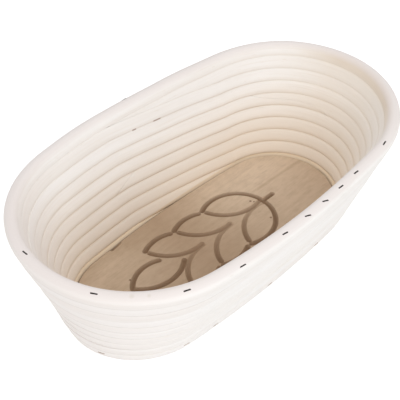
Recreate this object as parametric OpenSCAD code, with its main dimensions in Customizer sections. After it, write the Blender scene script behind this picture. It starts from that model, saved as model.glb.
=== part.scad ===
// Oval proofing basket: cane wound round a carved wooden board and stapled row on row.
// Millimetres, +Z up. The origin is the middle of the board's underside.

/* [Basket] */
// Length over the rim
basket_length = 280; // [250:1:340]
// Width over the rim
basket_width = 157; // [145:1:190]
// How far the long sides bow out past a straight line
side_bow = 3; // [1.5:0.5:8]
// Angle at which the wall leans out from upright
wall_lean = 19.5; // [8:0.5:23]
// Rows of cane from the floor up, the rim's own row included
rows = 10; // [9:1:12]

/* [Cane] */
// Thickness of the peeled cane
cane_d = 8.5; // [7.5:0.1:10]
// Gap between one row and the next
row_gap = 0.5; // [0.5:0.05:1]
// Height of the lowest row above the underside of the board
floor_gap = 0.15; // [0.1:0.05:0.5]
// Length along the far side over which a row climbs to the next one
climb_length = 96; // [60:1:120]
// Turns made by the lowest length of cane
lower_turns = 4.15; // [3:0.01:5]
// Turns made by the middle length of cane
middle_turns = 1.73; // [1:0.01:2.5]
// Length of the skived splice between the lowest length of cane and the middle one
first_splice_length = 20; // [16:1:40]
// Length of the skived splice between the middle length of cane and the highest one
second_splice_length = 60; // [30:1:75]
// Length of the skived splice in the rim
rim_splice_length = 66; // [40:1:90]
// How far left of the middle of the near side the splice in the rim starts
rim_splice_start = 22; // [0:1:40]
// Gap between the two faces of a splice
splice_gap = 0.5; // [0.45:0.05:1]
// Thickness left at the tip of a skived end
tip_t = 1.2; // [0.8:0.1:2]

/* [Base board] */
// Thickness of the board
board_t = 9.5; // [7:0.5:10]
// Gap between the edge of the board and the lowest row
board_gap = 0.4; // [0.35:0.05:1]
// Width of the carved grooves
groove_w = 4; // [2.5:0.1:5]
// Depth of the carved grooves
groove_depth = 1.8; // [0.8:0.1:2.5]

/* [Carved ear of wheat] */
// Distance from the middle of the board to the middle of the first pair of leaves
ear_ahead = 27; // [24:0.5:31]
// How far the ear sits to the far side of the board's middle line
ear_aside = 0.6; // [0:0.1:3]
// Pairs of leaves on the ear
leaf_pairs = 3; // [1:1:3]
// Distance from one pair of leaves to the next
leaf_pitch = 26.7; // [24:0.1:28]
// Radius of the outer edge of a leaf
leaf_outer_r = 25.2; // [23:0.1:27]
// Radius of the inner edge of a leaf
leaf_inner_r = 28.2; // [26:0.1:30]
// Distance from the stem's middle line to the root of a leaf's inner edge
stem_gap = 0.6; // [0.3:0.1:1.5]
// Distance from the middle of the last pair of leaves to the tip of the ear
tip_reach = 39.9; // [37:0.1:43]
// How far the tip sits to the far side of the stem's middle line
tip_aside = 4.1; // [2:0.1:6]
// Radius of the upper edge of the leaf at the tip
tip_upper_r = 23.6; // [22:0.1:26]
// Radius of the lower edge of the leaf at the tip
tip_lower_r = 27.8; // [26:0.1:30]
// Length of the stalk below the first pair
stalk_length = 9.5; // [6:0.5:20]

/* [Staples] */
// Width of the flat staple wire
wire_w = 1.2; // [0.8:0.1:1.6]
// Thickness of the staple wire
wire_t = 0.6; // [0.4:0.05:0.7]
// Width of a staple over its crown
staple_crown = 5.4; // [4:0.1:7]
// Length of a staple's legs
staple_leg = 14; // [12.5:0.5:15]
// Staples along the splice in the rim
splice_staples = 5; // [3:1:6]
// Angle from the top of the rim out to the shoulder where its staples sit
shoulder_angle = 35; // [0:1:45]

/* [Hidden] */
rim_row = rows - 1;
last_row = rows - 2;
$fn = 96;

cane_colour = "#eadfcc";
board_colour = "#b59a7c";
staple_colour = "#4a4744";

// Cane rows: each centreline lies one row_pitch up the leaning wall from the last
half = cane_d / 2;
row_pitch = cane_d + row_gap;
row_rise = row_pitch * cos(wall_lean);
row_step = row_pitch * sin(wall_lean);

// Section of the cane: a polygon as high as the cane between its flats
sides = 8;
corner_r = half / cos(180 / sides);

// Four-centred oval of the outer rim: two end circles and two wide side arcs
end_r = basket_width / 2 - side_bow;
end_x = basket_length / 2 - end_r;
side_r = (pow(basket_width / 2, 2) + end_x * end_x - end_r * end_r) / (2 * side_bow);
side_y = side_r - basket_width / 2;
end_span = atan2(side_y, end_x);
side_span = 90 - end_span;
side_length = side_r * 2 * side_span * PI / 180;

// A turn is four stretches: 0 far side, 1 left end, 2 near side, 3 right end
stretches = 4;
near_side = 2;
rings_on = [8, 16, 4, 16];

// Places along the winding, counted in stretches from the right end of the far side
climb = climb_length / side_length;
wall_start = climb * (tip_t + row_gap) / row_pitch;
wall_end = stretches * rim_row + climb * (1 - (tip_t + row_gap) / row_pitch);
rim_splice = near_side + 0.5 - rim_splice_start / side_length;
rim_splice_share = rim_splice_length / side_length;

// Splices in the wall: where each starts, its length, and whether its plane rises along
// the winding, 1, or falls, -1
first_splice = [stretches * lower_turns, first_splice_length, -1];
second_splice = [stretches * (lower_turns + middle_turns), second_splice_length, 1];

// Share of a splice that a tip of this thickness leaves off at its thin end
splice_tip = (tip_t + splice_gap / 2) / cane_d;

// How far a staple's crown stands above the cane that it is driven into
crown_proud = wire_t / 2;

// Inset of a row's centreline from the outer edge of the rim, and its height
function row_inset(row) = corner_r + (rim_row - row) * row_step;
function row_height(row) = floor_gap + corner_r + row * row_rise;

// Row that the winding has reached: level, but climbing along the far side
function climbed(s) = min(1, (s % stretches) / climb);
function wall_row(s) = max(0, min(last_row, floor(s / stretches) - 1 + climbed(s)));

// Centre, radius, first angle and angle swept of one stretch of the oval
function stretch(k) =
    k == 0 ? [[0, -side_y], side_r, 90 - side_span, 2 * side_span] :
    k == 1 ? [[-end_x, 0], end_r, 180 - end_span, 2 * end_span] :
    k == 2 ? [[0, side_y], side_r, 270 - side_span, 2 * side_span] :
             [[end_x, 0], end_r, -end_span, 2 * end_span];

// Outward direction, as an angle, and point of the oval at s
function heading(s) =
    let (a = stretch(floor(s) % stretches))
    a[2] + a[3] * (s - floor(s));
function oval(s, inset) =
    let (a = stretch(floor(s) % stretches), h = heading(s))
    a[0] + (a[1] - inset) * [cos(h), sin(h)];
function centre(s, row) =
    let (p = oval(s, row_inset(row)))
    [p.x, p.y, row_height(row)];

// Length of a stretch
function stretch_length(k, inset) =
    let (a = stretch(k % stretches))
    (a[1] - inset) * a[3] * PI / 180;

// Section with flats towards the rows above and below, cut by a skiving plane that
// leaves what is under the height high, or what is over the height low
function section(low, high) =
    high < half ?
        let (span = acos(-high / corner_r))
        [for (i = [0 : sides - 1])
            let (a = span * (2 * i / (sides - 1) - 1))
            corner_r * [sin(a), -cos(a)]] :
        let (span = acos(low / corner_r))
        [for (i = [0 : sides - 1])
            let (j = (i + sides / 2) % sides, a = span * (1 - 2 * j / (sides - 1)))
            corner_r * [sin(a), cos(a)]];

// Section set on the wall at s: first coordinate out of the wall, second up it
function ring(s, row, low, high) =
    let (c = centre(s, row), h = heading(s))
    [for (p = section(max(low, -half), min(high, half)))
        let (out = p.x * cos(wall_lean) + p.y * sin(wall_lean))
        c + [out * cos(h), out * sin(h), p.y * cos(wall_lean) - p.x * sin(wall_lean)]];

// Places of the rings from one end of a length of cane to the other, breaks included
function stations(from, to, breaks) =
    let (least = 0.2 / max(rings_on))
    concat([from],
        [for (k = [floor(from) : floor(to)])
            let (n = rings_on[k % stretches])
            for (i = [0 : n - 1])
                let (here = k + i / n, next = k + (i + 1) / n)
                for (s = concat([here], [for (b = breaks) if (b > here + least && b < next - least) b]))
                    if (s > from + least && s < to - least) s],
        [to]);

// Splice plane between two lengths: its height over the middle of the cane, and the places
// where the two tips end
function splice_share(splice) =
    splice[1] / stretch_length(floor(splice[0]), row_inset(wall_row(splice[0])));
function splice_plane(s, splice) =
    splice[2] * (cane_d * (s - splice[0]) / splice_share(splice) - half);
function splice_from(splice) = splice[0] + splice_tip * splice_share(splice);
function splice_to(splice) = splice[0] + (1 - splice_tip) * splice_share(splice);
splice_ends = [for (splice = [first_splice, second_splice])
    each [splice[0], splice[0] + splice_share(splice)]];

// Rings of a length of the wall that lies over the planes of some splices and under others;
// the foot of the winding thins out under its own second turn, its top under the rim
function wall_rings(from, to, over, under) =
    [for (s = stations(from, to, splice_ends))
        let (low = max([-half, for (splice = over) splice_plane(s, splice) + splice_gap / 2]),
             high = min([half, for (splice = under) splice_plane(s, splice) - splice_gap / 2]),
             top_low = s > stretches * rim_row ? (climbed(s) - 1) * row_pitch + half + row_gap : -half,
             foot_high = s < climb ? climbed(s) * row_pitch - half - row_gap : half)
        ring(s, wall_row(s), max(low, top_low), min(high, foot_high))];

// Rings of the rim: its end lies over its own start in one long splice
function rim_plane(s) = -half + cane_d * (s - rim_splice) / rim_splice_share;
function rim_rings() =
    let (full = rim_splice + rim_splice_share,
         thin = stretches + rim_splice,
         tip = splice_tip * rim_splice_share)
    [for (s = stations(rim_splice + tip, stretches + full - tip, [full, thin]))
        let (low = s > thin ? rim_plane(s - stretches) + splice_gap / 2 : -half,
             high = s < full ? rim_plane(s) - splice_gap / 2 : half)
        ring(s, rim_row, low, high)];

// Least distance between points that lie about a turn apart on one tube
function self_gap(rings) =
    let (turn = rings_on * [1, 1, 1, 1], n = len(rings))
    min([for (i = [0 : n - 1])
        for (j = [i + turn - 3 : min(n - 1, i + turn + 3)])
            for (p = rings[i])
                for (q = rings[j])
                    norm(p - q)]);

// One unbroken tube through the rings, closed at both ends, in triangles
module tube(rings) {
    last = (len(rings) - 1) * sides;
    walls = [for (k = [0 : len(rings) - 2])
        for (i = [0 : sides - 1])
            let (a = k * sides + i, b = k * sides + (i + 1) % sides)
            each [[a, b, b + sides], [a, b + sides, a + sides]]];
    start_cap = [for (i = [1 : sides - 2]) [0, i + 1, i]];
    end_cap = [for (i = [1 : sides - 2]) [last, last + i, last + i + 1]];
    polyhedron(
        points = [for (r = rings) each r],
        faces = concat(walls, start_cap, end_cap),
        convexity = 12);
}

// A length of cane, which prints the least gap between its turns
module cane(name, rings) {
    echo(str(name, " least gap to itself, mm: "), self_gap(rings));
    color(cane_colour) tube(rings);
}

module lower_cane() {
    cane("lower_cane", wall_rings(wall_start, splice_to(first_splice), [], [first_splice]));
}

module middle_cane() {
    cane("middle_cane", wall_rings(
        splice_from(first_splice), splice_to(second_splice), [first_splice, second_splice], []));
}

module upper_cane() {
    cane("upper_cane", wall_rings(splice_from(second_splice), wall_end, [], [second_splice]));
}

module rim_cane() {
    cane("rim_cane", rim_rings());
}

// Board: the oval inside the lowest row, with the ear of wheat carved in its top
board_inset = row_inset(0) + corner_r + board_gap;
seam_x = end_x + (end_r - board_inset) * cos(end_span);

module board_plate() {
    linear_extrude(board_t) {
        for (side = [-1, 1]) translate([side * end_x, 0]) circle(end_r - board_inset);
        intersection() {
            translate([0, -side_y]) circle(side_r - board_inset);
            translate([0, side_y]) circle(side_r - board_inset);
            square([2 * seam_x, basket_width], center = true);
        }
    }
}

// Points along an arc, with its first and last ones left off where they are shared
function arc_points(at, r, from, to, steps, inner = false) =
    [for (i = inner ? [1 : steps - 1] : [0 : steps])
        let (a = from + (to - from) * i / steps)
        at + r * [cos(a), sin(a)]];

// Outline of a groove along an arc, with round ends
arc_step = 6;
end_steps = 8;
function groove_outline(r, from, to) =
    let (steps = ceil((to - from) / arc_step),
         w = groove_w / 2)
    concat(
        arc_points([0, 0], r + w, from, to, steps),
        arc_points(r * [cos(to), sin(to)], w, to, to + 180, end_steps, true),
        arc_points([0, 0], r - w, to, from, steps),
        arc_points(r * [cos(from), sin(from)], w, from + 180, from + 360, end_steps, true));

// Groove cut down from above along an arc
module arc_groove(at, r, from, to) {
    translate([at.x, at.y, 0]) linear_extrude(2 * groove_depth) polygon(groove_outline(r, from, to));
}

// Ear of wheat along X, counted from the middle of its first pair of leaves: a leaf
// is an outer and an inner arc, where the inner one runs from just short of the tip to
// the stem, and in the first pair on to the stalk
outer_tip = 117;
first_root = 288;
inner_root = 277;
leaf_tip = leaf_outer_r * [cos(outer_tip), sin(outer_tip)];
inner_y = leaf_inner_r + stem_gap;
inner_x = leaf_tip.x + sqrt(pow(leaf_inner_r, 2) - pow(inner_y - leaf_tip.y, 2));
tip_short = 5;
inner_tip = 360 + atan2(leaf_tip.y - inner_y, leaf_tip.x - inner_x) + tip_short;
outer_root = atan2(leaf_tip.y, leaf_tip.x + leaf_pitch) + tip_short;

// Leaf at the tip of the ear: its point, and the angles at which its two edges run
ear_tip = [-tip_reach, tip_aside];
upper_from = 63;
upper_to = 141;
lower_from = 215;
lower_to = 310;
upper_at = ear_tip - tip_upper_r * [cos(upper_to), sin(upper_to)];
lower_at = ear_tip - tip_lower_r * [cos(lower_from), sin(lower_from)];

module ear_of_wheat() {
    arc_groove([0, 0], leaf_outer_r, -outer_tip, outer_tip);
    for (pair = [0 : leaf_pairs - 1]) translate([-pair * leaf_pitch, 0, 0])
        for (m = [0, 1]) mirror([0, m, 0]) {
            if (pair > 0) arc_groove([0, 0], leaf_outer_r, outer_root, outer_tip);
            arc_groove([inner_x, inner_y], leaf_inner_r, inner_tip, pair > 0 ? inner_root : first_root);
        }
    translate([(1 - leaf_pairs) * leaf_pitch, 0, 0]) {
        arc_groove(upper_at, tip_upper_r, upper_from, upper_to);
        arc_groove(lower_at, tip_lower_r, lower_from + tip_short, lower_to);
    }
    translate([leaf_outer_r, 0, 0]) {
        translate([0, -groove_w / 2, 0]) cube([stalk_length, groove_w, 2 * groove_depth]);
        translate([stalk_length, 0, 0]) cylinder(h = 2 * groove_depth, d = groove_w);
    }
}

module base_board() {
    color(board_colour) difference() {
        board_plate();
        translate([ear_ahead, ear_aside, board_t - groove_depth]) ear_of_wheat();
    }
}

// Staple: the crown lies along Y with its top at the origin, the legs run down
module staple() {
    translate([0, 0, -wire_t / 2]) cube([wire_w, staple_crown, wire_t], center = true);
    for (side = [-1, 1])
        translate([0, side * (staple_crown - wire_t) / 2, -staple_leg / 2])
            cube([wire_w, wire_t, staple_leg], center = true);
}

// Frame on the wall at s: X out of the wall, Y along the row, Z up the wall
module on_wall(s, row) {
    translate(centre(s, row)) rotate([0, wall_lean, heading(s)]) children();
}

// Staples along a turn, in shares of its stretches, set by hand and not quite even, and in
// the lowest row; every second row has its staples halfway between those of the row above
hand_shares = [0.17, 0.51, 0.80, 1.06, 1.25, 1.44, 1.67, 1.90,
               2.10, 2.41, 2.72, 3.03, 3.24, 3.46, 3.68, 3.89];
base_shares = [0.88, 1.15, 1.36, 1.61, 1.98, 2.15, 2.50, 2.85, 3.14, 3.57, 3.78];
function places_on(row) =
    let (n = len(hand_shares))
    (rim_row - row) % 2 == 0 ? hand_shares :
    [for (i = [0 : n - 1])
        let (next = hand_shares[(i + 1) % n] + (i == n - 1 ? stretches : 0))
        ((hand_shares[i] + next) / 2) % stretches];

// Is this place in the rim's splice, or within a staple of it?
staple_room = 1.5 * staple_crown / side_length;
function in_rim_splice(s) =
    s > rim_splice - staple_room && s < rim_splice + rim_splice_share + staple_room;

// Staples that hold one row of the wall down to the row under it; the thin foot of the
// winding takes none, and the rim's splice is left to its own staples
module row_staples(row) {
    color(staple_colour) for (at = places_on(row)) {
        s = stretches * row + at;
        on_foot = s < stretches + climb;
        under_splice = row == last_row && in_rim_splice(at);
        if (!on_foot && !under_splice)
            on_wall(s, wall_row(s)) translate([0, 0, half + crown_proud]) staple();
    }
}

// Staple through the rim's shoulder, aimed at the middle of the row below
module rim_staple(s) {
    crown_at = (half + crown_proud) * [sin(shoulder_angle), cos(shoulder_angle)];
    aim = atan2(crown_at.x, crown_at.y + row_pitch);
    on_wall(s, rim_row) translate([crown_at.x, 0, crown_at.y]) rotate([0, aim, 0]) staple();
}

module rim_staples() {
    color(staple_colour) for (s = places_on(rim_row))
        if (!in_rim_splice(s)) rim_staple(s);
}

module rim_splice_staples() {
    color(staple_colour) for (i = [0 : splice_staples - 1])
        rim_staple(rim_splice + rim_splice_share * (i + 0.15) / (splice_staples - 0.7));
}

// Staples driven level through the lowest row into the edge of the board
module base_staples() {
    inset = row_inset(0);
    height = board_t / 2;
    reach = sqrt(half * half - pow(row_height(0) - height, 2)) + crown_proud;
    color(staple_colour) for (s = base_shares) {
        p = oval(s, inset - reach);
        if (s > climb)
            translate([p.x, p.y, height]) rotate([0, 90, heading(s)]) staple();
    }
}

base_board();
lower_cane();
middle_cane();
upper_cane();
rim_cane();
for (row = [1 : last_row])
    row_staples(row);
rim_staples();
rim_splice_staples();
base_staples();
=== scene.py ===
# %% [markdown]
# # An oval proofing basket
#
# Bread dough rises in a basket like this one. Peeled cane is wound round a wooden board, row
# on row, and each row is stapled to the one below. The CAD frame already holds every size, so
# this lesson dresses it: the cane gets a rounded, slightly uneven body and fibres that follow
# its windings, the board gets its carving and grain, and the staples become bent wire.

# %% Load the frame
import math

import bmesh
import bpy
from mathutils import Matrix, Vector


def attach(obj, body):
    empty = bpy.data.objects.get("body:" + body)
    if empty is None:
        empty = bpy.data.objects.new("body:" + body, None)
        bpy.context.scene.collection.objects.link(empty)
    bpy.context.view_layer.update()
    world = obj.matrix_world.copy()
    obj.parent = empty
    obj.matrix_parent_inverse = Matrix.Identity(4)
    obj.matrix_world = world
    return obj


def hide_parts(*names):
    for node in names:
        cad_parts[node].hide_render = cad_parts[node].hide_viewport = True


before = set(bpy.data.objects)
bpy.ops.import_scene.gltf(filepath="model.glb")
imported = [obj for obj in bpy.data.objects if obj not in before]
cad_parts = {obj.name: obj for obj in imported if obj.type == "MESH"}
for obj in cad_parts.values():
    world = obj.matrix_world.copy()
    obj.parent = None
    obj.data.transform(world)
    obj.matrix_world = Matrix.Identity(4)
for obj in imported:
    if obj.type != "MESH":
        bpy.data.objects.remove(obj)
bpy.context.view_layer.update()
MM = 0.001
print("nodes in the frame:", len(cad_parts))

# %% [markdown]
# ## The camera
#
# The picture looks down into the basket from its front left. A camera can be placed by eye or
# worked out from edges of known length. Here the place and the lens were worked out from the
# rim, the rows and the board, so the camera needs no shift and no roll.

# %% Camera
camera_azimuth = math.radians(-46.16)
camera_elevation = math.radians(42.13)
camera_distance = 671.1 * MM
looked_at = Vector((-3.79, 6.44, 42.7)) * MM
towards_camera = Vector((
    math.sin(camera_azimuth) * math.cos(camera_elevation),
    -math.cos(camera_azimuth) * math.cos(camera_elevation),
    math.sin(camera_elevation)))

camera_lens = bpy.data.cameras.new("studio_camera")
camera_lens.sensor_width = 36
camera_lens.lens = 95.03
camera = bpy.data.objects.new("studio_camera", camera_lens)
camera.location = looked_at + camera_distance * towards_camera
camera.rotation_euler = (-towards_camera).to_track_quat("-Z", "Y").to_euler()
bpy.context.scene.collection.objects.link(camera)
bpy.context.scene.camera = camera
print("camera at, mm:", [round(v / MM) for v in camera.location])

# %% [markdown]
# ## The line that the cane follows
#
# The basket is an oval of four arcs: two tight ends and two long sides that bow out a little.
# A place on the winding is one number that counts stretches: 0 is the far side, 1 the left
# end, 2 the near side and 3 the right end, and 4 is the far side again, one row higher. A drawn
# curve could carry this line, but a formula also says which way the wall faces, and the section
# of the cane needs that.

# %% The oval
end_radius = 75.5 * MM
end_centre_x = 64.5 * MM
half_width = 78.5 * MM
side_radius = 770.375 * MM
side_centre_y = side_radius - half_width
end_span = math.atan2(side_centre_y, end_centre_x)
side_span = math.pi / 2 - end_span

# For each stretch: the centre of its arc, its radius, the heading of its middle, half its angle.
STRETCHES = (
    (Vector((0, -side_centre_y)), side_radius, math.pi / 2, side_span),
    (Vector((-end_centre_x, 0)), end_radius, math.pi, end_span),
    (Vector((0, side_centre_y)), side_radius, 1.5 * math.pi, side_span),
    (Vector((end_centre_x, 0)), end_radius, 2 * math.pi, end_span))
TURN = len(STRETCHES)
side_length = 2 * side_span * side_radius


def heading(s):
    """The way that the wall faces at a place, as an angle from +X."""
    middle, span = STRETCHES[int(s) % TURN][2:]
    return middle + span * (2 * (s - int(s)) - 1)


print("length of a long side, mm:", round(side_length / MM, 1))

# %% [markdown]
# ## The leaning wall
#
# The wall leans, so each row sits one pitch further up and out. A basket wound by hand is a
# little uneven. Sculpting could show that, but bumps in the formula move the rows, the board
# and the staples alike. Most bumps grow from nothing at the foot to a few millimetres at the
# rim, and one lengthens the foot at the left end.

# %% Rows on the wall
wall_lean = math.radians(19.5)
row_pitch = 9 * MM
rim_row = 9
lowest_centre = 4.75 * MM
rim_inset = 4.6 * MM


def row_inset(row):
    """How far inside the outer oval the middle of a row lies."""
    return rim_inset + (rim_row - row) * row_pitch * math.sin(wall_lean)


print("the rim stands out over the foot by, mm:", round((row_inset(0) - rim_inset) / MM, 1))

# %% Hand-wound unevenness
# Start, end and height of each bump along the winding: near side, far right corner, far side
# twice, right end.
rim_bumps = (
    (1.2, 3.4, 3.6 * MM), (3.65, 4.3, -3.5 * MM), (4, 4.6, -1.5 * MM),
    (4.5, 5.1, 1.3 * MM), (3.1, 3.75, 1.5 * MM))
foot_bump = (1.1, 1.9, 2 * MM)
foot_rows = 4


def bump(s, start, end, height):
    """Rises smoothly from 0 to a height and falls again between two places."""
    share = (s - start) % TURN / (end - start)
    return height * math.sin(math.pi * share) ** 2 if share < 1 else 0


def uneven(s, inset):
    """How far hand winding has moved a place outwards."""
    row = rim_row * (row_inset(0) - inset) / (row_inset(0) - rim_inset)
    at_rim = max(0, row / rim_row)
    at_foot = min(1, max(0, 1 - row / foot_rows))
    return at_rim * sum(bump(s, *b) for b in rim_bumps) + at_foot * bump(s, *foot_bump)


def oval(s, inset):
    """The flat point at a place, this far inside the outer oval."""
    centre, radius = STRETCHES[int(s) % TURN][:2]
    turn = heading(s)
    return centre + (radius - inset + uneven(s, inset)) * Vector((math.cos(turn), math.sin(turn)))


def wall_frame(s, row):
    """Centre of the cane at a place on a row, with the ways out of the wall and up it."""
    turn = heading(s)
    flat = oval(s, row_inset(row))
    centre = Vector((flat.x, flat.y, lowest_centre + row * row_pitch * math.cos(wall_lean)))
    level_out = Vector((math.cos(turn), math.sin(turn), 0))
    straight_up = Vector((0, 0, 1))
    out = level_out * math.cos(wall_lean) - straight_up * math.sin(wall_lean)
    up = level_out * math.sin(wall_lean) + straight_up * math.cos(wall_lean)
    return centre, out, up


print("bumps in the winding:", len(rim_bumps) + 1)

# %% [markdown]
# ## Climbing from row to row
#
# The cane lies level round most of a turn and climbs to the next row along the far side. At
# the floor it starts as a thin wedge under its own second turn, and at the top it ends as a
# wedge under the rim. Two lengths meet in a long slanting cut, which basket makers call a
# scarf. All three are the same idea: a cut slices the section, from above or below. A scarf is
# a place, a length, a slope and a bend. One falls along the winding and is straight. The other
# rises, and bends to be nearly level in its middle.

# %% Rows and scarf joints
climb = 96 * MM / side_length
first_scarf = (TURN * 4.15, 20 * MM, -1, 1)
second_scarf = (TURN * 5.88, 60 * MM, 1, 3)
rim_scarf = 2.5 - 22 * MM / side_length
rim_scarf_share = 66 * MM / side_length
top_of_wall = TURN * rim_row

# The wedges stop short of an edge with no thickness, at these shares of the climb.
first_tip = 0.06
last_tip = 0.97
wall_start = climb * first_tip
wall_end = top_of_wall + climb * last_tip


def climbed(s):
    """How much of the climb to the next row is done at a place."""
    return min(1, (s % TURN) / climb)


def wall_row(s):
    """The row, with a fraction while it climbs, that the wall's cane has reached at a place."""
    return max(0, min(rim_row - 1, s // TURN - 1 + climbed(s)))


def scarf_share(scarf):
    """The length of a scarf as a share of its stretch."""
    at, length = scarf[:2]
    radius, span = STRETCHES[int(at) % TURN][1::2]
    return length / ((radius - row_inset(wall_row(at))) * 2 * span)


print("rows of cane:", rim_row + 1)

# %% [markdown]
# ## The section of the cane
#
# Peeled cane starts out round. Soaked and wound tight, the rows press each other flat, so the
# wall is made of bands that only dip where two of them meet, least of all at the left end. The
# rim, which nothing presses from above, keeps a round top. A superellipse gives that top: an
# exponent of 2 is a true ellipse, and a larger one squares it off. A cut for a wedge or a scarf
# just limits the height of the points. No cane is perfectly even, so slow waves thin it by
# hundredths of its depth.

# %% Section
SECTION_POINTS = 24
half_height = 4.56 * MM
half_depth = 4.3 * MM
dip_sharpness = 4
rim_roundness = 2.5

# Size, rate along the winding and start of each wave in the depth.
mean_depth = 0.984
depth_waves = ((0.010, 2.3, 0), (0.006, 7.1, 1))


def thinned(s):
    """Depth of the cane at a place, as a share of its full depth."""
    return mean_depth + sum(size * math.sin(rate * s + start) for size, rate, start in depth_waves)


def depth_at(height, dip, round_top):
    """Depth of the section at a height, both as shares of the half depth and half height."""
    if round_top and height > 0:
        return (1 - height ** rim_roundness) ** (1 / rim_roundness)
    return 1 - dip * abs(height) ** dip_sharpness


def section(low, high, depth, dip, round_top):
    """Points out of the wall and up it, from the top down the inside and up the outside."""
    points = []
    for i in range(SECTION_POINTS):
        turn = 2 * math.pi * (i + 0.5) / SECTION_POINTS
        height = math.cos(turn)
        kept = max(low, min(high, height * half_height))
        share = min(
            depth_at(height, dip, round_top), depth_at(kept / half_height, dip, round_top))
        points.append((math.copysign(depth * share, -math.sin(turn)), kept))
    return points


print("section of a row, mm:", round(2 * half_depth / MM, 1), "by", round(2 * half_height / MM, 1))

# %% [markdown]
# ## Sweeping a section along a line
#
# A curve object with a bevel shape makes a tube quickly, but its section can't change on the
# way, so it could not end in a scarf. This sweep starts from one circle and extrudes its edge
# loop again and again. An integer on each vertex says which corner of the section it is, and
# extruding copies that number, so each new loop can be put straight into its place. A second
# layer keeps where the point would lie on a straight, unwound cane. The fibres will use it.

# %% From a bmesh to an object
sharp_bend = math.radians(40)


def finished(name, bm, sharp_from=sharp_bend):
    """Turns a bmesh into a linked object, smooth apart from its sharp edges."""
    mesh = bpy.data.meshes.new(name)
    bm.to_mesh(mesh)
    bm.free()
    mesh.polygons.foreach_set("use_smooth", [True] * len(mesh.polygons))
    mesh.set_sharp_from_angle(angle=sharp_from)
    piece = bpy.data.objects.new(name, mesh)
    bpy.context.scene.collection.objects.link(piece)
    return piece


print("edges are sharp from, degrees:", round(math.degrees(sharp_bend)))

# %% Sweep


def sweep(name, rings, straight_rings=None):
    """A closed tube through rings of points, as a new object."""
    bm = bmesh.new()
    corner = bm.verts.layers.int.new("corner")
    straight = bm.verts.layers.float_vector.new("straight")
    circle = bmesh.ops.create_circle(bm, cap_ends=True, segments=len(rings[0]), radius=MM)
    loop_verts = circle["verts"]
    loop_edges = list(bm.edges)
    for i, vert in enumerate(loop_verts):
        vert[corner] = i
    for k, ring in enumerate(rings):
        if k > 0:
            made = bmesh.ops.extrude_edge_only(bm, edges=loop_edges)["geom"]
            loop_verts = [e for e in made if isinstance(e, bmesh.types.BMVert)]
            new_verts = set(loop_verts)
            made_edges = [e for e in made if isinstance(e, bmesh.types.BMEdge)]
            loop_edges = [e for e in made_edges if set(e.verts) <= new_verts]
        for vert in loop_verts:
            vert.co = ring[vert[corner]]
            if straight_rings:
                vert[straight] = straight_rings[k][vert[corner]]
    bmesh.ops.contextual_create(bm, geom=loop_edges)
    bmesh.ops.recalc_face_normals(bm, faces=bm.faces)
    return finished(name, bm)


print("corners of a swept section of cane:", SECTION_POINTS)

# %% [markdown]
# ## Winding the four lengths
#
# Three lengths make the wall and one makes the rim. Each is a list of places, and each place
# gives a section in the wall's own directions, cut where a wedge or a scarf needs it. The lowest
# row was wound on a bench, so it is flat below. The cane also wanders in and out by a tenth of a
# millimetre.

# %% Places along a length
RINGS_ON = (28, 44, 24, 44)
closest_rings = 0.2 / max(RINGS_ON)


def places(start, end, breaks):
    """Places of the rings, closer together round the ends, and at the breaks too."""
    marks = list(breaks)
    for stretch in range(int(start), int(end) + 1):
        rings = RINGS_ON[stretch % TURN]
        marks += [stretch + i / rings for i in range(rings)]
    kept = [start]
    for mark in sorted(marks):
        if kept[-1] + closest_rings < mark < end - closest_rings:
            kept.append(mark)
    return kept + [end]


print("rings on a turn:", sum(RINGS_ON))

# %% One length of cane
lowest_dip = 0.26
rim_dip = 0.08
left_flattening = (0.9, 2.1, 0.5)
wander = 0.12 * MM
wander_rate = 3.7
least_height = 0.1 * MM


def wound(name, node, ring_places, row_at, cuts_at, first_mark, round_top=False):
    """One length of cane: row_at and cuts_at give the row and the cuts at each place."""
    rings = []
    straight_rings = []
    along = first_mark
    last_centre = None
    for s in ring_places:
        row = row_at(s)
        centre, out, up = wall_frame(s, row)
        centre = centre + out * wander * math.sin(wander_rate * s + first_mark)
        low, high = cuts_at(s)
        dip = lowest_dip + (rim_dip - lowest_dip) * row / rim_row
        dip = dip * (1 - bump(s, *left_flattening))
        points = section(low, high, half_depth * thinned(s + first_mark), dip, round_top)
        if last_centre is not None:
            along += (centre - last_centre).length
        last_centre = centre
        ring = [centre + out * p + up * q for p, q in points]
        for point in ring:
            point.z = max(point.z, least_height)
        rings.append(ring)
        straight_rings.append([(along, p, q) for p, q in points])
    piece = sweep(name, rings, straight_rings)
    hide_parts(node)
    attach(piece, "root")
    print(name, "is", round((along - first_mark) / MM), "mm of cane")
    return piece


# %% The wall
scarf_gap = 0.1 * MM
row_crack = 0.1 * MM


def scarf_height(s, scarf):
    """Height of a scarf's cut in the section at a place."""
    slope, bend = scarf[2:]
    return slope * half_height * (2 * (s - scarf[0]) / scarf_share(scarf) - 1) ** bend


def wall_cuts(s, over, under):
    """Limits of the section of a length that lies over some scarfs and under others."""
    low = max([-half_height] + [scarf_height(s, scarf) + scarf_gap / 2 for scarf in over])
    high = min([half_height] + [scarf_height(s, scarf) - scarf_gap / 2 for scarf in under])
    if s < climb:
        high = min(high, climbed(s) * row_pitch - half_height - row_crack)
    if s > top_of_wall:
        low = max(low, (climbed(s) - 1) * row_pitch + half_height + row_crack)
    return low, high


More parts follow.
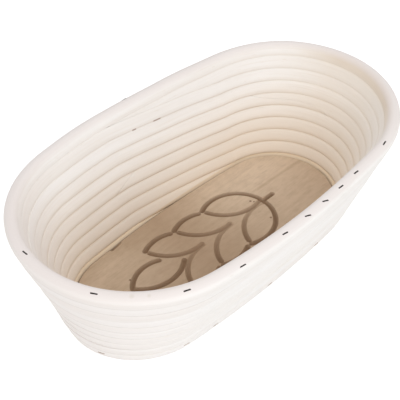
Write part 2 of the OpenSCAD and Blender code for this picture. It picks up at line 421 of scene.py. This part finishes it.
# Each length: its node, start and end, the scarfs that it lies over and under, and where on an
# endless cane it was cut.
thin_end = 0.03
wall_scarfs = (first_scarf, second_scarf)
scarf_starts = [scarf[0] + thin_end * scarf_share(scarf) for scarf in wall_scarfs]
scarf_ends = [scarf[0] + (1 - thin_end) * scarf_share(scarf) for scarf in wall_scarfs]
wall_lengths = (
    ("lower_cane", wall_start, scarf_ends[0], [], [first_scarf], 0.0),
    ("middle_cane", scarf_starts[0], scarf_ends[1], [first_scarf, second_scarf], [], 11.0),
    ("upper_cane", scarf_starts[1], wall_end, [], [second_scarf], 23.0))
canes = []
for node, start, end, over, under, first_mark in wall_lengths:
    canes.append(wound(
        node + "_wound", node, places(start, end, scarf_starts + scarf_ends), wall_row,
        lambda s: wall_cuts(s, over, under), first_mark))

# %% [markdown]
# ## The rim
#
# The rim is one turn that closes on itself: its end lies over its own start in a longer scarf
# on the near side, where the extra staples are. It could be a fourth entry in the list above,
# but it stays on one row and meets itself, so it has cuts of its own.

# %% The rim
rim_mark = 41.0


def rim_cuts(s):
    """Limits of the rim's section, under the scarf at its start and over it at its end."""
    low, high = -half_height, half_height
    height = half_height * (2 * ((s - rim_scarf) % TURN) / rim_scarf_share - 1)
    if s < rim_scarf + rim_scarf_share:
        high = height - scarf_gap / 2
    if s > rim_scarf + TURN:
        low = height + scarf_gap / 2
    return low, high


rim_tip = thin_end * rim_scarf_share
rim_breaks = [rim_scarf + rim_scarf_share, rim_scarf + TURN]
canes.append(wound(
    "rim_cane_wound", "rim_cane",
    places(rim_scarf + rim_tip, rim_scarf + TURN + rim_scarf_share - rim_tip, rim_breaks),
    lambda s: rim_row, rim_cuts, rim_mark, round_top=True))

# %% [markdown]
# ## Colours and nodes
#
# Colours are written as sRGB hex values, the way a picture shows them. Shaders work in linear
# light, so one function converts them. Another adds a node: it takes the node's properties as
# keywords, and a dictionary that sets a socket to a value or links it to another socket.

# %% Colours and nodes


def linear(hex_colour):
    """The linear colour, with an alpha of 1, of an sRGB hex value."""
    channels = [int(hex_colour[i:i + 2], 16) / 255 for i in (1, 3, 5)]
    return [c / 12.92 if c <= 0.04045 else ((c + 0.055) / 1.055) ** 2.4 for c in channels] + [1]


def add_node(tree, kind, sockets, **settings):
    """Adds a node, with its settings, and fills or links its sockets."""
    node = tree.nodes.new(kind)
    for name, value in settings.items():
        setattr(node, name, value)
    for socket, value in sockets.items():
        if isinstance(value, bpy.types.NodeSocket):
            tree.links.new(node.inputs[socket], value)
        else:
            node.inputs[socket].default_value = value
    return node


def new_material(name):
    """A new material, with its node tree and its main shader."""
    material = bpy.data.materials.new(name)
    material.use_nodes = True
    tree = material.node_tree
    return material, tree, tree.nodes["Principled BSDF"]


print("middle grey in linear light:", round(linear("#808080")[0], 3))

# %% [markdown]
# ## Stains, streaks and spots
#
# Cane, wood and wire all age the same way: a stain lies over the colour, but only here and
# there. Painted shade is laid on in the same way. So three helpers do most of the work. A
# stain's strength, or a painted shade's, is the product of its limits, and each limit says how
# strong it is while some value, such as the height above the floor, runs from a start to an
# end. Streaks are a stain limited by noise that is stretched to the length, width and depth of
# what grew there. Spots are stains limited by the distance from a point. Places are turned
# into millimetres first, so every limit is a real size.

# %% Helpers for finishes
# Sockets of a node that mixes colours: the two colours and the result.
MIX_A, MIX_B, MIX_OUT = 6, 7, 2


def measured(tree, place):
    """A place in millimetres, and the sockets with its three parts."""
    scaled = add_node(tree, "ShaderNodeVectorMath", {0: place, "Scale": 1 / MM}, operation="SCALE")
    in_mm = scaled.outputs["Vector"]
    return in_mm, add_node(tree, "ShaderNodeSeparateXYZ", {"Vector": in_mm}).outputs


def stain_and_shade(tree, colour, stain, *limits):
    """A colour under a stain or painted shade. A limit: a value, its start and end, and the
    strength at both.
    """
    strength = None
    for value, start, end, first, last in limits:
        limit = add_node(tree, "ShaderNodeMapRange", {
            "Value": value, "From Min": start, "From Max": end, "To Min": first, "To Max": last})
        if strength is not None:
            limit = add_node(
                tree, "ShaderNodeMath", {0: strength, 1: limit.outputs[0]}, operation="MULTIPLY")
        strength = limit.outputs[0]
    return add_node(tree, "ShaderNodeMix", {
        "Factor": strength, MIX_A: colour, MIX_B: linear(stain)}, data_type="RGBA").outputs[MIX_OUT]


def streaked(tree, colour, stain, place, lengths, limit, detail=2, roughness=0.5):
    """A colour under streaks of about these lengths in mm, and the pattern that they follow."""
    stretched = add_node(tree, "ShaderNodeMapping", {
        "Vector": place, "Scale": [1 / length for length in lengths]})
    pattern = add_node(tree, "ShaderNodeTexNoise", {
        "Vector": stretched.outputs[0], "Scale": 1, "Detail": detail, "Roughness": roughness})
    start, end, strength = limit
    streaks = (pattern.outputs["Fac"], start, end, 0, strength)
    return stain_and_shade(tree, colour, stain, streaks), pattern.outputs["Fac"]


def spotted(tree, colour, stain, place, spots):
    """A colour under round spots, each given by its middle and its radius in mm."""
    for middle, radius in spots:
        away = add_node(tree, "ShaderNodeVectorMath", {0: place, 1: middle}, operation="DISTANCE")
        fading = (away.outputs["Value"], 1.3 * radius, 0.5 * radius, 0, 0.8)
        colour = stain_and_shade(tree, colour, stain, fading)
    return colour


print("helpers for finishes:", stain_and_shade.__name__, streaked.__name__, spotted.__name__)

# %% [markdown]
# ## Peeled cane
#
# Cane is the core of rattan, stripped of its shiny bark and dried in the sun. It is nearly
# white and matt, with fine fibres along it that take light and shade, a few darker flecks where
# a vessel was cut, and longer stretches that are warmer or whiter. Object coordinates would cut
# across the windings, so the fibres read the straight attribute, in which the cane is unwound.

# %% Fibres and flecks
cane_material, tree, shader = new_material("peeled_rattan_dried")
straight = add_node(tree, "ShaderNodeAttribute", {}, attribute_name="straight")
unwound, unwound_parts = measured(tree, straight.outputs["Vector"])
colour = streaked(tree, linear("#fcfaf8"), "#f7f3ef", unwound, (110, 9, 9), (0.35, 0.65, 1))[0]

# Real fibres are about 0.3 mm apart. These are drawn at 0.8 mm, the finest that still shows.
colour, fibre = streaked(
    tree, colour, "#ece3d9", unwound, (40, 0.8, 0.8), (0.5, 0.75, 0.35), detail=3, roughness=0.6)
colour = streaked(tree, colour, "#d8c5ae", unwound, (7, 0.9, 0.9), (0.72, 0.78, 0.2), detail=1)[0]
fibre_bump = add_node(tree, "ShaderNodeBump", {
    "Height": fibre, "Strength": 0.35, "Distance": 0.15 * MM})
tree.links.new(shader.inputs["Normal"], fibre_bump.outputs[0])
shader.inputs["Roughness"].default_value = 0.62
shader.inputs["IOR"].default_value = 1.45
print("nodes for the fibres:", len(tree.nodes))

# %% [markdown]
# ## What use and painted shade do to the cane
#
# The outside has greyed a little, and painted shade darkens its seams. Inside, dough has left
# brown stains in the seams, and painted shade darkens them further, spreads over the edges of
# the bands beside them and lies, warmer, over the cane near the board. Painted shade makes the
# right end yellower and darker, with the inside of the rim above it, gives the left end, inside
# and out, a pinkish shade and is darkest on the rows near the board, left of the middle. A
# golden line of painted warm shade lies at the foot, with a painted shadow in the gap under it.
# Painted shade greys the top of the rim, so that it is no brighter than its sides. The straight
# attribute tells the inside from the outside and the seams from the bands. What depends on the
# place in the basket reads Object coordinates: the height above the floor, and how near either
# end or the far side it is.

# %% Limits of the stains and of painted shade
place, place_parts = measured(tree, add_node(tree, "ShaderNodeTexCoord", {}).outputs["Object"])
lengthways, crossways, above_floor = (place_parts[axis] for axis in "XYZ")
from_middle = add_node(
    tree, "ShaderNodeMath", {0: unwound_parts["Z"]}, operation="ABSOLUTE").outputs[0]
inside = (unwound_parts["Y"], -1, -3.5, 0, 1)
outside = (unwound_parts["Y"], 1, 3.5, 0, 1)
off_left_end = (lengthways, -125, -50, 0.35, 1)
# Limits for the brown stains and the painted shade in the inside seams, strongest low down.
seam_dirt_and_shade = (inside, (above_floor, 78, 14, 0.1, 0.85), (lengthways, 85, 120, 1, 0.45), off_left_end)
print("limits of the seam_browning_and_shade:", len(seam_dirt_and_shade))

# %% Stains of use and painted shade
# Painted shade in the seams of the outside, over a little grey on the whole outside.
colour = stain_and_shade(tree, colour, "#dfdad6", outside, (from_middle, 3.7, 4.4, 0.15, 0.9))
# Dough has left brown stains in the inside seams; painted shade darkens them and the band edges.
colour = stain_and_shade(tree, colour, "#c6b5a2", *seam_dirt_and_shade, (from_middle, 3.7, 4.4, 0, 1))
colour = stain_and_shade(tree, colour, "#cdbba9", *seam_dirt_and_shade, (from_middle, 1.8, 4.5, 0, 0.55))
# Painted warm shade on the inside, deepening towards the board.
colour = stain_and_shade(tree, colour, "#f1e0cb", inside, (above_floor, 65, 12, 0, 0.7))

# Painted shade on the right end and, above it, on the inside of the rim.
colour = stain_and_shade(
    tree, colour, "#ebddcb", inside, (lengthways, 75, 125, 0, 0.5), (crossways, 50, 10, 0.1, 1))
colour = stain_and_shade(
    tree, colour, "#dcc9b2", inside, (above_floor, 77, 80, 0, 0.45), (lengthways, 85, 112, 0, 1),
    (crossways, 35, 5, 0, 1))

# Painted shade on the rows near the board, left of the middle, and on the left end.
colour = stain_and_shade(
    tree, colour, "#8a7a6e", inside, (above_floor, 62, 14, 0, 0.17), (lengthways, 25, -25, 0, 1),
    (lengthways, -90, -60, 0, 1))
colour = stain_and_shade(tree, colour, "#efe3dd", (lengthways, -70, -135, 0, 0.35))

# Painted shade on the top of the rim, a golden line of painted warm shade at the foot, and a
# painted shadow in the gap under it.
colour = stain_and_shade(tree, colour, "#e9dfdb", (above_floor, 82.5, 85, 0, 0.7))
colour = stain_and_shade(tree, colour, "#e8cfaa", inside, (above_floor, 11, 10, 0, 0.6))
colour = stain_and_shade(
    tree, colour, "#7d6044", inside, (above_floor, 8.4, 7.6, 0, 0.5), (lengthways, 60, -10, 0, 1))
print("nodes with the stains:", len(tree.nodes))

# %% [markdown]
# ## Small marks on the cane
#
# Two faint knots lie on the near left of the rim, and two rust marks in a seam of the far wall,
# where hidden staples have wept. They could be modelled as specks, but a stain has no height.
# A row of small spots that overlap makes each rust mark, and the wall's own formula places
# them, so they stay in the seam.

# %% Knots and rust marks
rim_knots = (((-116.5, -52.4, 85), 1.4), ((-110.0, -58.6, 85), 1.1))
colour = spotted(tree, colour, "#e2d9d0", place, rim_knots)

rusty_turn = 7 * TURN
rust_radius = 0.6
rust_depth = 0.92 * half_depth
rust_places = (0.378, 0.385, 0.392, 0.399, 0.406, 0.413, 0.525, 0.532, 0.539)
rust_marks = []
for s in rust_places:
    centre, out = wall_frame(s, wall_row(rusty_turn + s) + 0.5)[:2]
    rust_marks.append(((centre - rust_depth * out) / MM, rust_radius))
colour = spotted(tree, colour, "#94705f", place, rust_marks)
tree.links.new(shader.inputs["Base Color"], colour)
for cane in canes:
    cane.data.materials.append(cane_material)
print("lengths of cane with fibres:", len(canes))

# %% [markdown]
# ## The base board
#
# The board is a thin oval of pale hardwood with an ear of wheat cut into its top by a
# round-nosed tool. Bump alone would look flat from low angles, and a dense grid would have
# jagged edges, so real grooves are cut: each is a swept tube with round ends, and a Boolean
# takes it out of the board. The outline starts as a circle whose points move to the oval.

# %% Board plate
board_thickness = 9.5 * MM
board_inset = 36.1 * MM
board_bevel = 0.25 * MM
OUTLINE_POINTS = 160

bm = bmesh.new()
circle = bmesh.ops.create_circle(bm, cap_ends=True, segments=OUTLINE_POINTS, radius=MM)
for i, vert in enumerate(circle["verts"]):
    flat = oval(TURN * i / OUTLINE_POINTS, board_inset)
    vert.co = (flat.x, flat.y, 0)
raised = bmesh.ops.extrude_face_region(bm, geom=list(bm.faces), use_keep_orig=True)["geom"]
top_verts = [e for e in raised if isinstance(e, bmesh.types.BMVert)]
bmesh.ops.translate(bm, vec=(0, 0, board_thickness), verts=top_verts)
bmesh.ops.recalc_face_normals(bm, faces=bm.faces)
level_edges = [e for e in bm.edges if abs(e.verts[0].co.z - e.verts[1].co.z) < board_bevel]
bmesh.ops.bevel(
    bm, geom=level_edges, offset=board_bevel, offset_type="OFFSET", affect="EDGES", segments=3,
    profile=0.5, material=-1)
board = finished("carved_board", bm)
print("board, mm:", [round(v / MM, 1) for v in board.dimensions])

# %% [markdown]
# ## The ear of wheat
#
# The ear is three pairs of leaves on a stem, a single leaf at the tip and a stub of stalk. A
# leaf has an outer and an inner edge, and both are arcs, as a carver would swing them with
# compasses. They are lists of points in millimetres from the middle of the first pair, with
# angles in degrees.

# %% Arcs
degrees_a_step = 5
least_steps = 4


def arc(centre, radius, start, end, flip=1, ahead=0.0):
    """Points along an arc, on either side of the stem and so far ahead."""
    steps = max(least_steps, math.ceil((end - start) / degrees_a_step))
    angles = [math.radians(start + (end - start) * i / steps) for i in range(steps + 1)]
    return [
        Vector((centre.x + radius * math.cos(a) + ahead, flip * (centre.y + radius * math.sin(a))))
        for a in angles]


print("degrees in a step of an arc:", degrees_a_step)

# %% Where the leaves meet
leaf_pitch = 26.7
leaf_outer = 25.2
leaf_inner = 28.2
stem_gap = 0.6
outer_tip = 117
left_between = 7
tip_turn = math.radians(outer_tip)
leaf_tip = leaf_outer * Vector((math.cos(tip_turn), math.sin(tip_turn)))
inner_centre = Vector((0, leaf_inner + stem_gap))
inner_centre.x = leaf_tip.x + math.sqrt(leaf_inner ** 2 - (inner_centre.y - leaf_tip.y) ** 2)
to_tip = leaf_tip - inner_centre
inner_start = 360 + math.degrees(math.atan2(to_tip.y, to_tip.x)) + left_between
outer_start = math.degrees(math.atan2(leaf_tip.y, leaf_tip.x + leaf_pitch)) + left_between
print("tip of a leaf, mm:", [round(v, 1) for v in leaf_tip])

# %% The ear as lines
leaf_pairs = 3
first_root = 288
inner_root = 277
stalk_length = 9.5
stalk_steps = 5
stem_middle = Vector((0, 0))
ear_tip = Vector((-39.9, 4.1))

# The two edges of the leaf at the tip: radius, the tip's angle on the arc, start and end.
tip_edges = ((23.6, 141, 63, 141), (27.8, 215, 215, 310))

grooves = [arc(stem_middle, leaf_outer, -outer_tip, outer_tip)]
for radius, at_tip, start, end in tip_edges:
    turn = math.radians(at_tip)
    centre = ear_tip - radius * Vector((math.cos(turn), math.sin(turn)))
    grooves.append(arc(centre, radius, start, end, ahead=(1 - leaf_pairs) * leaf_pitch))
grooves.append([
    Vector((leaf_outer + stalk_length * i / stalk_steps, 0)) for i in range(stalk_steps + 1)])
far_edges = []
near_edges = []
for pair in range(leaf_pairs):
    ahead = -pair * leaf_pitch
    root = inner_root if pair else first_root
    for flip, inner_edges in ((-1, near_edges), (1, far_edges)):
        if pair:
            grooves.append(arc(stem_middle, leaf_outer, outer_start, outer_tip, flip, ahead))
        inner_edges.append(arc(inner_centre, leaf_inner, inner_start, root, flip, ahead))
print("grooves in the ear:", len(grooves) + len(far_edges) + len(near_edges))

# %% The groove tool
TOOL_SIDES = 16
nose_angles = (25, 50, 75)


def tool_rings(line, radius, above, rise=0.0):
    """Circles round a line above the board's top, with round noses, rising towards its end."""
    stops = []
    last = len(line) - 1
    for i, point in enumerate(line):
        ahead = (line[min(i + 1, last)] - line[max(i - 1, 0)]).normalized()
        stops.append((point, ahead, 1.0, above + rise * i / last))
    first_ahead = stops[0][1]
    last_ahead = stops[-1][1]
    for nose in nose_angles:
        reach = radius * math.sin(math.radians(nose))
        size = math.cos(math.radians(nose))
        stops.insert(0, (line[0] - first_ahead * reach, first_ahead, size, above))
        stops.append((line[-1] + last_ahead * reach, last_ahead, size, above + rise))
    rings = []
    for point, ahead, size, height in stops:
        side = Vector((-ahead.y, ahead.x, 0))
        middle = Vector((point.x, point.y, board_thickness / MM + height)) * MM
        turns = [2 * math.pi * k / TOOL_SIDES for k in range(TOOL_SIDES)]
        rings.append([
            middle + size * radius * MM * (side * math.cos(t) + Vector((0, 0, 1)) * math.sin(t))
            for t in turns])
    return rings


def cut_out(piece, cutter):
    """Takes a cutter out of a piece for good, and removes the cutter."""
    boolean = piece.modifiers.new("cut", "BOOLEAN")
    boolean.object = cutter
    boolean.operation = "DIFFERENCE"
    boolean.solver = "EXACT"
    view = bpy.context.evaluated_depsgraph_get()
    cut_mesh = bpy.data.meshes.new_from_object(piece.evaluated_get(view))
    piece.modifiers.clear()
    piece.data = cut_mesh
    bpy.data.objects.remove(cutter)


print("sides of the groove tool:", TOOL_SIDES)

# %% Cutting the grooves
groove_width = 3.9
groove_depth = 1.8
groove_tool = (groove_width ** 2 / 4 + groove_depth ** 2) / (2 * groove_depth)
ear_middle = Vector((27.0, 0.6))
groove_crease = math.radians(30)

# The inner edges of the leaves grow shallower towards the stem, those of the near ones most.
for lines, rise in ((grooves, 0.0), (far_edges, 0.5), (near_edges, 1.1)):
    for line in lines:
        in_place = [point + ear_middle for point in line]
        tool = tool_rings(in_place, groove_tool, groove_tool - groove_depth, rise)
        cut_out(board, sweep("groove_tool", tool))

# A splinter is missing from the far edge of the top.
splinter_start = Vector((-51.5, 40.1))
splinter_step = Vector((2, 0.2))
splinter = [splinter_start + i * splinter_step for i in range(5)]
cut_out(board, sweep("splinter_tool", tool_rings(splinter, radius=1.7, above=0.1, rise=0.8)))
board.data.set_sharp_from_angle(angle=groove_crease)
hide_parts("base_board")
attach(board, "root")
print("faces of the carved board:", len(board.data.polygons))

# %% [markdown]
# ## The board's wood
#
# The board is sanded beech, left bare. Sanding leaves it matt and mottled, with faint grain
# lines along the basket, small pores as short dashes, a few pin knots and one long dark line.
# Painted shadow of the near wall darkens its middle and, a little, its near half, and the end
# by the stalk is paler.
# The tool opened the grooves to end grain, which looks darker, and painted shade deepens them
# towards the bottom. All of it lies on Object coordinates, because a board is cut out of its
# pattern.

# %% Tones and grain
board_material, tree, shader = new_material("sanded_beech")
place, place_parts = measured(tree, add_node(tree, "ShaderNodeTexCoord", {}).outputs["Object"])
lengthways, crossways, upwards = (place_parts[axis] for axis in "XYZ")
colour = streaked(tree, linear("#cfb79d"), "#c3ab90", place, (50, 14, 14), (0.35, 0.7, 1))[0]

# Broad changes of tone along the board and across it: a paler end, and painted shadow of the near
# wall on the middle and the near half.
darkest_at = -14
past_dark = add_node(tree, "ShaderNodeMath", {0: lengthways, 1: -darkest_at})
from_dark = add_node(tree, "ShaderNodeMath", {0: past_dark.outputs[0]}, operation="ABSOLUTE")
colour = stain_and_shade(tree, colour, "#e2ccb3", (lengthways, 0, 60, 0, 0.8))
colour = stain_and_shade(tree, colour, "#a98d72", (from_dark.outputs[0], 48, 0, 0, 0.7))
colour = stain_and_shade(tree, colour, "#a98d72", (crossways, 24, -4, 0, 0.35))

# Grain lines, mottling and pores over them.
colour = streaked(
    tree, colour, "#9a7f64", place, (70, 2.2, 2.2), (0.42, 0.72, 0.15), detail=4, roughness=0.62)[0]
colour = streaked(tree, colour, "#9a7f64", place, (6, 4, 4), (0.4, 0.7, 0.16))[0]
colour, pores = streaked(tree, colour, "#8a7056", place, (5, 0.7, 0.7), (0.52, 0.72, 0.14))
wood_bump = add_node(tree, "ShaderNodeBump", {
    "Height": pores, "Strength": 0.3, "Distance": 0.1 * MM})
tree.links.new(shader.inputs["Normal"], wood_bump.outputs[0])
shader.inputs["Roughness"].default_value = 0.7
shader.inputs["IOR"].default_value = 1.45
print("nodes for the grain:", len(tree.nodes))

# %% Marks, end grain and painted shade on the board
# One dark line runs along the grain at the pale end, a little askew.
line_askew = (0.03, 1, 0)
line_aside = 12.9
across = add_node(
    tree, "ShaderNodeVectorMath", {0: place, 1: line_askew}, operation="DOT_PRODUCT")
past_line = add_node(tree, "ShaderNodeMath", {0: across.outputs["Value"], 1: -line_aside})
off_line = add_node(tree, "ShaderNodeMath", {0: past_line.outputs[0]}, operation="ABSOLUTE")
colour = stain_and_shade(
    tree, colour, "#a2876a", (off_line.outputs[0], 1.8, 0.3, 0, 0.35), (lengthways, 49, 60, 0, 1))

# A few pin knots lie near the ear.
board_top = board_thickness / MM
pin_knots = (
    ((45.6, 6.3, board_top), 0.9), ((46.9, 4.2, board_top), 0.6),
    ((43.0, -14.5, board_top), 0.8), ((-61.9, 11.5, board_top), 0.9))
colour = spotted(tree, colour, "#6d4a35", place, pin_knots)

# Darker end grain and painted shade in the grooves, deeper towards their bottoms; it ends below
# them so that the sides and the underside stay clean.
colour = stain_and_shade(
    tree, colour, "#7a5c40", (upwards, board_top - 0.1, board_top - 1.7, 0, 0.9),
    (upwards, board_top - 3, board_top - 2, 0, 1))
tree.links.new(shader.inputs["Base Color"], colour)
board.data.materials.clear()
board.data.materials.append(board_material)
print("pin knots:", len(pin_knots))

# %% [markdown]
# ## Staples
#
# Flat steel wire, bent into a U and shot in by a staple gun. Only the crowns show: dark dashes
# on the rim, and a few round the foot. The CAD staples are square-edged, so those that show
# are made again, with rounded bends, and turned a little, as a hand-held gun leaves them. The
# staples between two rows stay as they are, because the next row hides them.

# %% Staple wire
wire_width = 0.9 * MM
wire_thickness = 0.6 * MM
crown_length = 5.1 * MM
leg_length = 14 * MM
leg_point = 0.35
wire_bend = 0.5 * MM
wire_half = Vector((wire_width / 2, wire_thickness / 2))
WIRE_SECTION = (
    (1, 0.5), (0.6, 1), (-0.6, 1), (-1, 0.5), (-1, -0.5), (-0.6, -1), (0.6, -1), (1, -0.5))


def staple_rings(origin, across, along, up):
    """Rings round a staple whose crown lies along one way, with its top at the origin."""
    reach = (crown_length - wire_thickness) / 2
    in_bend = 0.3 * wire_bend

    # Each stop: place along the crown and up, how far the wire has turned, and its thickness.
    stops = []
    for side in (-1, 1):
        leg = [
            (side * reach, -leg_length, 0, leg_point), (side * reach, -wire_bend, 0, 1.0),
            (side * (reach - in_bend), -in_bend, 45, 1.0), (side * (reach - wire_bend), 0, 90, 1.0)]
        if side > 0:
            leg = reversed([(y, z, 180 - turn, size) for y, z, turn, size in leg])
        stops += leg
    rings = []
    for y, z, turn, size in stops:
        middle = origin + along * y + up * (z - wire_thickness / 2)
        angle = math.radians(turn)
        thick = -along * math.cos(angle) + up * math.sin(angle)
        rings.append([
            middle + across * p * wire_half.x + thick * q * wire_half.y * size
            for p, q in WIRE_SECTION])
    return rings


print("staple, mm:", round(crown_length / MM, 1), "by", round(leg_length / MM, 1))

# %% A set of staples
wire_crease = math.radians(50)


def joined(name, node, parts):
    """Puts a set of staples into one object that stands for their node."""
    bm = bmesh.new()
    for part in parts:
        bm.from_mesh(part.data)
        bpy.data.objects.remove(part)
    piece = finished(name, bm, wire_crease)
    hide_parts(node)
    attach(piece, "root")
    print(name, "holds", len(parts), "staples")
    return piece


# %% One staple in the rim
crown_proud = 0.1 * MM


def top_reach(angle):
    """Distance from the middle of the rim to its round top, this far over from upright."""
    across = abs(math.sin(angle)) / half_depth
    upward = abs(math.cos(angle)) / half_height
    return (across ** rim_roundness + upward ** rim_roundness) ** (-1 / rim_roundness)


def rim_staple(s, over, turned):
    """A staple shot into the rim at a place, so many degrees over from its top, and turned."""
    centre, out, up = wall_frame(s, rim_row)
    shoulder = math.radians(over)
    shoulder_way = out * math.sin(shoulder) + up * math.cos(shoulder)
    crown = (top_reach(shoulder) + crown_proud) * shoulder_way
    down = (-crown - up * row_pitch).normalized()
    row_way = Vector((-math.sin(heading(s)), math.cos(heading(s)), 0))
    level = row_way.cross(-down)
    turn = math.radians(turned)
    along = row_way * math.cos(turn) + level * math.sin(turn)
    across = along.cross(-down)
    return sweep("staple", staple_rings(centre + crown, across, along, -down))


print("top of the rim above its middle, mm:", round(top_reach(0) / MM, 2))

# %% Staples on the rim
# Each staple: its place, or its share of the scarf, then the degrees over and turned.
rim_places = (
    (0.17, 55, 4), (0.51, 22, -7), (0.80, 55, 9), (1.06, 60, -5), (1.25, 85, 6), (1.44, -14, -8),
    (1.675, 5, 0), (1.90, 12, 0), (2.09, 30, 3), (3.03, -5, -4), (3.24, 75, 8), (3.46, 65, -6),
    (3.68, 60, 3), (3.89, 55, -9))
scarf_places = ((-0.04, 10, 5), (0.26, 7, 18), (0.51, 4, 20), (0.75, 1, 3), (1.0, -2, 4))
rim_wires = joined(
    "rim_staple_wires", "rim_staples", [rim_staple(*spot) for spot in rim_places])
splice_wires = joined(
    "rim_splice_staple_wires", "rim_splice_staples",
    [rim_staple(rim_scarf + rim_scarf_share * share, over, turned)
     for share, over, turned in scarf_places])

# %% Staples round the foot
base_places = (0.88, 1.15, 1.36, 1.61, 1.98, 2.15, 2.50, 2.85, 3.14, 3.57, 3.78)
base_height = board_thickness / 2
base_reach = 4.65 * MM
most_tilt = math.radians(5)


def base_staple(i, s):
    """A staple shot level through the lowest row, with a tilt that no other one has."""
    turn = heading(s)
    level_out = Vector((math.cos(turn), math.sin(turn), 0))
    row_way = Vector((-math.sin(turn), math.cos(turn), 0))
    crown = oval(s, row_inset(0)).to_3d() + level_out * base_reach
    crown.z = base_height
    tilt = most_tilt * math.sin(2.6 * i + 0.7)
    along = row_way * math.cos(tilt) + Vector((0, 0, 1)) * math.sin(tilt)
    return sweep("staple", staple_rings(crown, along.cross(level_out), along, level_out))


base_wires = joined(
    "base_staple_wires", "base_staples", [base_staple(i, s) for i, s in enumerate(base_places)])

# %% [markdown]
# ## Staple steel
#
# Galvanised wire that has gone dull in damp dough and flour: a dark grey metal whose
# reflections are broken up, with a few brown rust spots. Round the foot, flour has stuck to
# the wire, so there it is pale and no longer shines. A plain metal would mirror the white
# room and vanish on the pale cane, so patches of stain also make the wire rougher.

# %% Steel material


def dulled_wire(name, colour, patch_colour, patch_length, smoothest, roughest):
    """A material for wire with patches of about this length in mm, some rougher than others."""
    material, tree, shader = new_material(name)
    place = measured(tree, add_node(tree, "ShaderNodeTexCoord", {}).outputs["Object"])[0]
    patched, patches = streaked(
        tree, linear(colour), patch_colour, place, [patch_length] * 3, (0.4, 0.65, 1), detail=3)
    dullness = add_node(tree, "ShaderNodeMapRange", {
        "Value": patches, "To Min": smoothest, "To Max": roughest})
    tree.links.new(shader.inputs["Base Color"], patched)
    tree.links.new(shader.inputs["Roughness"], dullness.outputs[0])
    return material, shader


steel_material, steel_shader = dulled_wire(
    "tarnished_galvanised_wire", "#3a3533", "#2b211c", 1.2, smoothest=0.38, roughest=0.68)
steel_shader.inputs["Metallic"].default_value = 0.8
floured_material = dulled_wire(
    "floured_wire", "#c2b1a6", "#a08d81", 1.5, smoothest=0.6, roughest=0.8)[0]
hidden_staples = [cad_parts[f"row_staples_{row}"] for row in range(1, rim_row)]
base_wires.data.materials.append(floured_material)
for wires in (rim_wires, splice_wires):
    wires.data.materials.append(steel_material)
for wires in hidden_staples:
    wires.material_slots[0].material = steel_material
print("sets of hidden staples:", len(hidden_staples))

# %% [markdown]
# ## Floor and light
#
# The basket stands on a plain white sweep. A large soft lamp from the front left and an even
# white world give the open, almost shadowless light of a studio table. A ring of lamps could
# do that too, but each would leave a shadow of its own. The floor adds a little light of its
# own that is only seen, directly or in a mirror or glass, and lights nothing, so that it looks
# white and still keeps a faint shadow. The world is brighter where it is seen in the same way.

# %% Floor
floor_reach = 4
floor_gap = 0.1 * MM
floor_glow = 0.45


def seen_itself(tree):
    """1 for rays that show a surface, straight, mirrored or through glass, and 0 for the rest."""
    rays = add_node(tree, "ShaderNodeLightPath", {}).outputs
    seen = rays["Is Camera Ray"]
    for kind in ("Is Glossy Ray", "Is Transmission Ray"):
        either = add_node(tree, "ShaderNodeMath", {0: seen, 1: rays[kind]}, operation="MAXIMUM")
        seen = either.outputs[0]
    return seen


bm = bmesh.new()
bmesh.ops.create_grid(bm, x_segments=1, y_segments=1, size=floor_reach)
bmesh.ops.translate(bm, vec=(0, 0, -floor_gap), verts=bm.verts)
floor = finished("floor", bm)
floor_material, tree, shader = new_material("white_paper_sweep")
place = measured(tree, add_node(tree, "ShaderNodeTexCoord", {}).outputs["Object"])[0]
paper = streaked(tree, linear("#f1f1f1"), "#f4f4f4", place, (2, 2, 2), (0, 1, 1))[0]
glow = add_node(
    tree, "ShaderNodeMath", {0: seen_itself(tree), 1: floor_glow}, operation="MULTIPLY")
tree.links.new(shader.inputs["Base Color"], paper)
tree.links.new(shader.inputs["Emission Strength"], glow.outputs[0])
shader.inputs["Emission Color"].default_value = (1, 1, 1, 1)
shader.inputs["Roughness"].default_value = 1
shader.inputs["Specular IOR Level"].default_value = 0
floor.data.materials.append(floor_material)
print("floor, m:", round(floor.dimensions.x), "by", round(floor.dimensions.y))

# %% Light
ambient = 0.755
world = bpy.data.worlds.new("white_studio")
world.use_nodes = True
bpy.context.scene.world = world
tree = world.node_tree
strength = add_node(tree, "ShaderNodeMapRange", {
    "Value": seen_itself(tree), "To Min": ambient, "To Max": 1.0})
background = tree.nodes["Background"]
tree.links.new(background.inputs["Strength"], strength.outputs[0])
background.inputs["Color"].default_value = (1, 1, 1, 1)

lamp_place = Vector((-0.65, -1.1, 1.1))
lamp_aim = Vector((0, 0, 0.03))
lamp_light = bpy.data.lights.new("key_lamp", "AREA")
lamp_light.size = 1.4
lamp_light.energy = 10
lamp = bpy.data.objects.new("key_lamp", lamp_light)
lamp.location = lamp_place
lamp.rotation_euler = (lamp_aim - lamp_place).to_track_quat("-Z", "Y").to_euler()
bpy.context.scene.collection.objects.link(lamp)
print("lamp from the basket, m:", round((lamp_place - lamp_aim).length, 2))

# %% [markdown]
# ## Finish
#
# The last step sets the Standard view transform and updates the scene.

# %% Finish
bpy.context.scene.view_settings.view_transform = "Standard"
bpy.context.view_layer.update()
